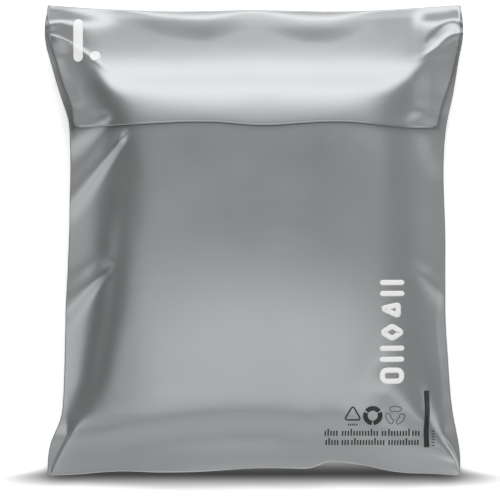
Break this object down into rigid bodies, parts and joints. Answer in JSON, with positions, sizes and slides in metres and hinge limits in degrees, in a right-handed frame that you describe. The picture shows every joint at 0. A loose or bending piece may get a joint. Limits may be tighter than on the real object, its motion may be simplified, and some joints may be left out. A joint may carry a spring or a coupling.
{
  "type": "poly mailer bag",
  "caption": "Closed and filled grey film mailing bag with welded edges and a glued-down flap, lying on its back.",
  "frame": {"origin": "centre of the bag's footprint, on the surface that its back lies on", "axes": "+X across the bag to the right as its front is read, +Y from the bottom edge to the folded top edge, +Z out of the front"},
  "size_m": [0.351, 0.3974, 0.0541],
  "materials": {
    "film": "satin grey film with a soft silvery sheen",
    "white_print": "flat white ink",
    "dark_print": "flat near-black ink"
  },
  "bodies": {
    "root": {"mailer_bag": "film"}
  },
  "joints": []
}
